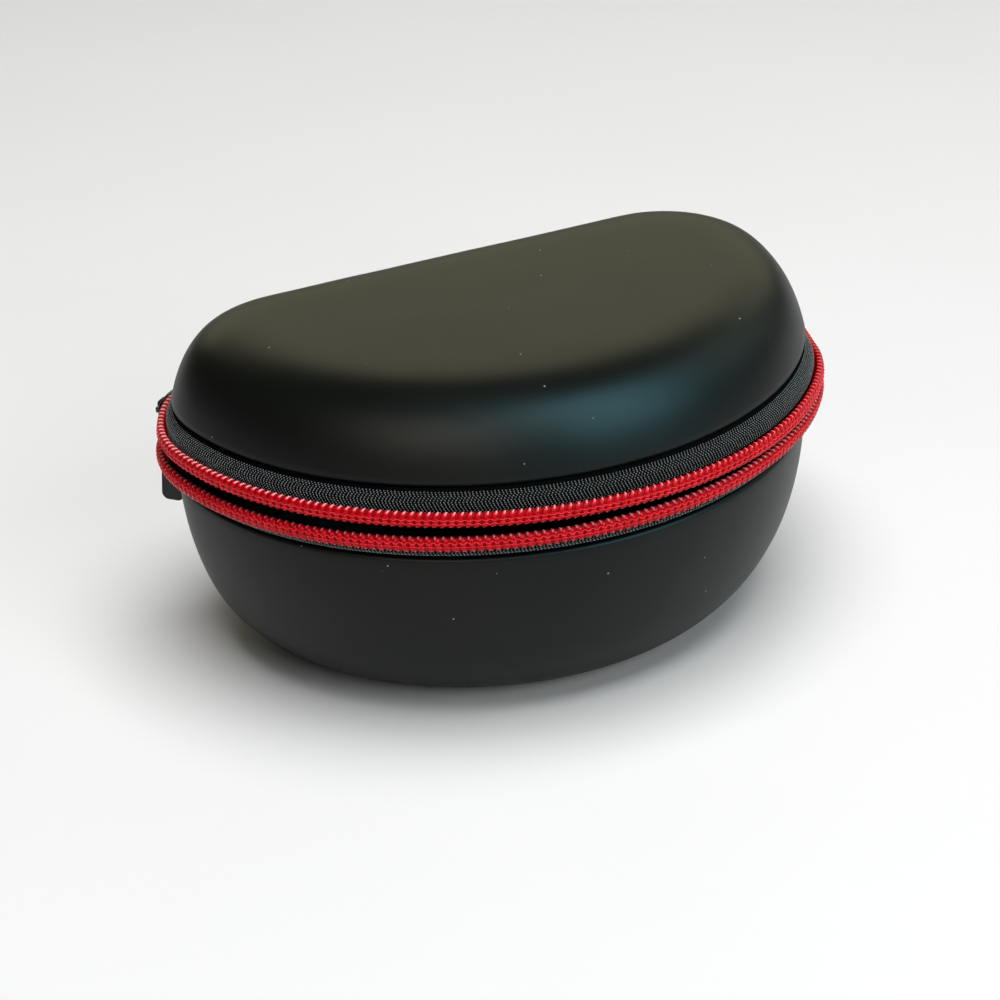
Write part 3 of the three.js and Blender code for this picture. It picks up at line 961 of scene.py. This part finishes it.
@dataclass
class CoilRow:
    """One row of coil teeth with its filler cord and its chain stitches. Millimetres.

    lean is a share of the pitch; cord_depth and cord_height reach past the wire's middle line.
    """

    side: Side
    pitch: float = 2.3
    wire: float = 0.46
    turn_steps: int = 14
    wire_sides: int = 6
    leg_width: float = 2.35
    head_width: float = 1.3
    lean: float = -0.0528
    slimness: float = 0.22
    thread: float = 0.15
    stitch_line: float = 0.75
    stitch_arch: float = 0.14
    cord_depth: float = 0.15
    cord_height: float = 0.22

    @property
    def half_height(self) -> float:
        """Half the height of the wire's middle line."""
        return ZIP.row_height / 2 - self.slimness - self.wire

    @property
    def half_depth(self) -> float:
        """Half the depth of the wire's middle line."""
        return ZIP.row_depth / 2 - self.wire

    def centre_line(self) -> Line:
        """The row's middle line, with its directions."""
        run = zip_run(self.side)
        offset = ZIP.row_standoff - drawn_in_at(self.side, run.turns)
        height = ZIP.row_centre(run.turns) + sunk_at(self.side, run.turns)
        return run.line([(place, (1.0, 0.0)) for place in np.column_stack([offset, height])])

    def towards_head(self, z: Array) -> Array:
        """Heights in a copy's own frame, whose +Z is down: the heads face the other row."""
        return z * self.side.value

    def one_turn(self, pitch: float) -> Mesh:
        """One turn of the coil: bend, broad front leg, head and back leg."""
        turn = np.linspace(-np.pi, np.pi, self.turn_steps + 1)
        front, up = np.cos(turn), np.sin(turn)
        depth = self.half_depth * np.sign(front) * np.abs(front) ** 0.6
        height = self.half_height * np.sign(up) * np.abs(up) ** 0.8
        along = -pitch * (turn / (2 * np.pi) + self.lean * np.sin(2 * turn))
        path = np.column_stack([along, depth, self.towards_head(height)])
        leg = np.clip(front, 0, 1) ** 0.8
        head_reach = 0.45
        head = np.exp(-(((turn - np.pi / 2) / head_reach) ** 2))
        width = 1 + (self.leg_width - 1) * leg + (self.head_width - 1) * head
        mesh = tube("coil_turn", path, self.wire, self.wire_sides, width=width)
        # Stores the painted highlight on the bends' ridges for the nylon's colour.
        layer = mesh.attributes.new(PAINTED_HIGHLIGHT, "FLOAT", "POINT")
        layer.data.foreach_set("value", self.strain(turn).ravel())
        return mesh

    def strain(self, turn: Array) -> Array:
        """Painted highlight of the points of each ring, from 0 to 1: pale on the ridges of the
        bends.
        """
        straight, ease, behind, lower = 0.8, 0.15, -0.3, 0.85
        up = np.sin(turn)
        bent = np.clip((np.abs(up) - straight) / ease, 0, 1) * (np.cos(turn) > behind)
        around = np.arange(self.wire_sides) / self.wire_sides * 2 * np.pi
        below = self.towards_head(up) > 0
        ridge, corner = np.abs(np.sin(around)) > 0.5, np.sin(2 * around) > 0.5
        return bent[:, None] * np.where(below[:, None], lower * ridge, corner)

    def one_stitch(self, pitch: float) -> Mesh:
        """Chain stitches over one turn: an arch over the leg and a loop that dips beside it."""
        share = np.linspace(-0.5, 0.5, 8)
        wave = np.cos(share * 2 * np.pi)
        made = bmesh.new()
        for level, swing, lift in ((self.stitch_line, -0.3, 1.0), (-0.35, 0.16, 0.5)):
            depth = self.half_depth + self.wire * 0.85 + self.stitch_arch * wave * lift
            height = level + swing * wave
            path = np.column_stack([share * pitch, depth, self.towards_head(height)])
            part = tube("stitch", path, self.thread * (0.6 + 0.4 * lift), 5, (0.0, 0.0, 1.0))
            made.from_mesh(part)
            bpy.data.meshes.remove(part)
        mesh = bpy.data.meshes.new("chain_stitch")
        made.to_mesh(mesh)
        made.free()
        mesh.shade_smooth()
        return mesh

    def filler(self, line: Line) -> Mesh:
        """The knitted cord that fills the coil, along the row's middle line."""
        sides = 10
        angles = np.arange(sides) / sides * 2 * np.pi
        out = (self.half_depth + self.cord_depth) * np.cos(angles)
        rings = line["points"][:, None] + out[:, None] * line["outward"][:, None, :]
        rings[:, :, 2] += (self.half_height + self.cord_height) * np.sin(angles)
        return loft(f"{self.side.word}_coil_cord", rings, closed_ends=True)

    def build(
        self, repeater: PathRepeater, nylon: Material, thread: Material, cord: Material
    ) -> None:
        """Makes the coil, its stitches and its cord."""
        node = f"{self.side.word}_zip_coil"
        line = self.centre_line()
        length = float(lengths_along(line["points"])[-1])
        pitch = length / round(length / self.pitch)
        teeth, stitches = self.one_turn(pitch), self.one_stitch(pitch)
        for word, piece, finish in (("teeth", teeth, nylon), ("stitch", stitches, thread)):
            path = path_mesh(f"{word}_line", [line])
            name = f"{self.side.word}_coil_{word}"
            add_piece(repeater.repeat(name, path, piece, pitch, finish), node)
        add_piece(self.filler(line), node, cord)


@dataclass
class BackHinge:
    """The cloth hinge: a bowed strip across the straight back, woven as the tapes are."""

    weave: Weave
    bulge: float = 1.6
    steps: int = 16
    bare_edges: Pair = (1.2, 1.0)

    def outer_curve(self) -> tuple[Array, Array]:
        """Outer face of the section, from the lid's rim to the base's, and tangents."""
        rim = ZIP.rim_rise - ZIP.clearance
        start = -ZIP.tape_set_back
        corners = [(start, rim), (self.bulge, rim / 2), (self.bulge, -rim / 2), (start, -rim)]
        return bezier(corners, self.steps)

    def run(self) -> Run:
        """The stretch of the outline behind the zip's ends, from the right to the left."""
        reach = PLAN.corner_radius - ZIP.tape_set_back - ZIP.tape_thickness
        end = ZIP.end_turn + math.degrees(ZIP.clearance / reach)
        chosen = np.abs(LOOP_TURNS) > end
        start = int(np.argmax(chosen & ~np.roll(chosen, 1)))
        order = np.roll(np.arange(len(chosen)), -start)
        order = order[chosen[order]]
        return Run(LOOP_POINTS[order], LOOP_OUTWARD[order], LOOP_TURNS[order])

    def build(self) -> None:
        """Makes the hinge's ground and its floats."""
        run, curve = self.run(), self.outer_curve()
        curves = [curve] * len(run.points)
        ends = (self.bare_edges[0], lengths_along(curve[0])[-1] - self.bare_edges[1])
        self.weave.cover("hinge", "back_hinge", run, curves, ends)


@dataclass
class SliderAndPuller:
    """The enamelled slider and its rubber puller, with their edges rounded. Millimetres."""

    edge: float = 0.35
    soft_edge: float = 0.5
    steps: int = 3
    flat_within: float = 1.0
    sharp_from: float = 35.0

    def rounded(self, node: str, name: str, edge: float) -> Mesh:
        """A copy of a solid, merged and with its edges rounded.

        Args:
            node: The solid's node.
            name: The new mesh's name.
            edge: The radius of its edges.

        Returns:
            The new mesh.
        """
        made = bmesh.new()
        made.from_mesh(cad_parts[node].data)
        bmesh.ops.remove_doubles(made, verts=made.verts, dist=0.001 * MM)
        limit = math.radians(self.flat_within)
        bmesh.ops.dissolve_limit(made, angle_limit=limit, verts=made.verts, edges=made.edges)
        mesh = bpy.data.meshes.new(f"{name}_plain")
        made.to_mesh(mesh)
        made.free()
        obj = new_object(mesh.name, mesh)
        bevel = obj.modifiers.new("edges", "BEVEL")
        bevel.width = edge * MM
        bevel.segments = self.steps
        bevel.limit_method = "ANGLE"
        bevel.angle_limit = math.radians(self.sharp_from)
        bevel.use_clamp_overlap = True
        graph = bpy.context.evaluated_depsgraph_get()
        done = bpy.data.meshes.new_from_object(obj.evaluated_get(graph))
        done.name = name
        done.shade_smooth()
        bpy.data.objects.remove(obj)
        return done

    def build(self, enamel: Material, rubber: Material) -> None:
        """Makes both pieces."""
        slider = self.rounded("zip_slider", "enamelled_slider", self.edge)
        add_piece(slider, "zip_slider", enamel)
        puller = self.rounded("zip_puller", "rubber_puller", self.soft_edge)
        add_piece(puller, "zip_puller", rubber)


@dataclass
class Studio:
    """The floor, the lights and the camera, which stands where the photograph's did."""

    elevation: float = 27.7627
    yaw: float = 25.4306
    roll: float = 2.5298
    shift_right: float = 8.2329
    shift_up: float = 26.1601
    distance: float = 786.3
    pixels_per_mm: float = 3.35416
    image: float = 1000.0
    sensor: float = 36.0
    heading: float = 25.43
    panel_distance: float = 2.0
    panel_aim: float = 0.06
    sky_glow: float = 0.03
    floor_half: float = 6.0

    def camera(self) -> None:
        """Makes the scene's camera."""
        el, yaw, roll = (math.radians(a) for a in (self.elevation, self.yaw, self.roll))
        basis = Matrix.Rotation(-yaw, 3, "Z") @ Matrix.Rotation(math.pi / 2 - el, 3, "X")
        basis = basis @ Matrix.Rotation(-roll, 3, "Z")
        place = basis @ Vector((-self.shift_right, -self.shift_up, self.distance))
        place.z += MIDDLE
        data = bpy.data.cameras.new("camera")
        data.sensor_width = self.sensor
        data.lens = self.sensor * self.pixels_per_mm * self.distance / self.image
        data.clip_end = 20.0
        camera = new_object("camera", data)
        camera.matrix_world = Matrix.Translation(place * MM) @ basis.to_4x4()
        bpy.context.scene.camera = camera

    def panel(
        self,
        name: str,
        azimuth: float,
        elevation: float,
        size: Pair,
        glow: float,
        tint: Floats,
        mirrored: bool = True,
    ) -> None:
        """Adds a soft light panel that faces the case.

        Args:
            name: The panel's name.
            azimuth: Degrees round the case, from behind the camera to its right.
            elevation: Degrees above the floor.
            size: Width and height in metres.
            glow: Brightness of its surface.
            tint: Its colour.
            mirrored: Whether it shows only as a sheen, or only lights the surfaces.
        """
        around, up = math.radians(azimuth - self.heading), math.radians(elevation)
        level = Vector((math.sin(around), -math.cos(around), 0.0)) * math.cos(up)
        away = level + Vector((0.0, 0.0, math.sin(up)))
        data = bpy.data.lights.new(name, "AREA")
        data.shape = "RECTANGLE"
        data.size, data.size_y = size
        data.energy = glow * math.pi * size[0] * size[1]
        data.color = tint
        lamp = new_object(name, data)
        lamp.location = away * self.panel_distance + Vector((0.0, 0.0, self.panel_aim))
        lamp.rotation_euler = (-away).to_track_quat("-Z", "Y").to_euler()
        lamp.visible_glossy = mirrored
        lamp.visible_diffuse = not mirrored

    def floor(self) -> None:
        """A wide pale floor that the case stands on."""
        mesh = bpy.data.meshes.new("floor")
        half = self.floor_half
        corners = [(-half, -half, 0.0), (half, -half, 0.0), (half, half, 0.0), (-half, half, 0.0)]
        mesh.from_pydata(corners, [], [(0, 1, 2, 3)])
        obj = new_object("floor", mesh)
        pale = Finish("pale_floor")
        tone = pale.mix(pale.noise(0.01), (0.84, 0.84, 0.84, 1.0), (0.87, 0.87, 0.87, 1.0))
        mesh.materials.append(pale.feed(Base_Color=tone, Roughness=0.7))

    def sky(self) -> None:
        """An even dim surrounding, and plain colours without a film look."""
        world = bpy.data.worlds.new("surrounding")
        world.use_nodes = True
        shade = world.node_tree.nodes["Background"]
        shade.inputs["Color"].default_value = (1.0, 1.0, 1.0, 1.0)
        shade.inputs["Strength"].default_value = self.sky_glow
        bpy.context.scene.world = world
        bpy.context.scene.view_settings.view_transform = "Standard"

    def build(self) -> None:
        """Makes the floor, the sky, the light panels and the camera."""
        self.camera()
        self.floor()
        self.sky()
        white = (1.0, 1.0, 1.0)
        self.panel("key", 30.0, 80.0, (1.6, 1.6), 5.8, white, mirrored=False)
        self.panel("fill", 38.0, 30.0, (1.6, 1.0), 2.8, white, mirrored=False)
        self.panel("behind", 180.0, 24.0, (2.9, 1.0), 1.4, (1.0, 0.97, 0.66))
        self.panel("right", 54.0, 42.0, (1.25, 1.9), 9.3, (0.33, 0.84, 0.98))
        self.panel("front", -12.0, 38.0, (1.4, 1.3), 3.8, (1.0, 0.93, 0.82))
        self.panel("far_right", 112.0, 32.0, (1.3, 1.4), 1.1, (0.85, 1.0, 0.9))


# Name, two colours and roughness, then the cloth's specular level or the nylon's coat.
CLOTHS = (
    ("tape_ground", (0.001, 0.001, 0.001, 1.0), (0.003, 0.003, 0.003, 1.0), 0.9, 0.02),
    # The yarn's pale grey second colour is a painted glint.
    ("tape_yarn", (0.02, 0.024, 0.024, 1.0), (0.34, 0.38, 0.38, 1.0), 0.42, 0.15),
)
NYLONS = (
    ("coil_nylon", (0.56, 0.0, 0.006, 1.0), (0.44, 0.0, 0.004, 1.0), 0.22, 0.1),
    ("stitch_thread", (0.95, 0.045, 0.065, 1.0), (0.8, 0.02, 0.035, 1.0), 0.35, 0.0),
    ("filler_cord", (0.34, 0.0, 0.004, 1.0), (0.24, 0.0, 0.003, 1.0), 0.5, 0.0),
)


class HeadphoneCase:
    """The whole case, piece by piece."""

    def build(self) -> None:
        """Builds the pieces in order."""
        skin = SoftTouchSkin().make()
        ground, yarn = (WovenCloth(*row).make() for row in CLOTHS)
        nylon, thread, cord = (Nylon(*row).make() for row in NYLONS)
        repeater = PathRepeater()
        weave = Weave(repeater, ground, yarn)
        MouldedShell(Side.LID, LID_PROFILE).build(skin)
        MouldedShell(Side.BASE, BASE_PROFILE).build(skin)
        for side in Side:
            ZipTape(side, weave).build()
            CoilRow(side).build(repeater, nylon, thread, cord)
        BackHinge(weave).build()
        SliderAndPuller().build(Enamel().make(), PullRubber().make())


def main() -> None:
    """Builds the stage and the case, in order."""
    logging.basicConfig(level=logging.INFO, format="%(asctime)s %(message)s")
    Studio().build()
    HeadphoneCase().build()


if __name__ == "__main__":
    main()
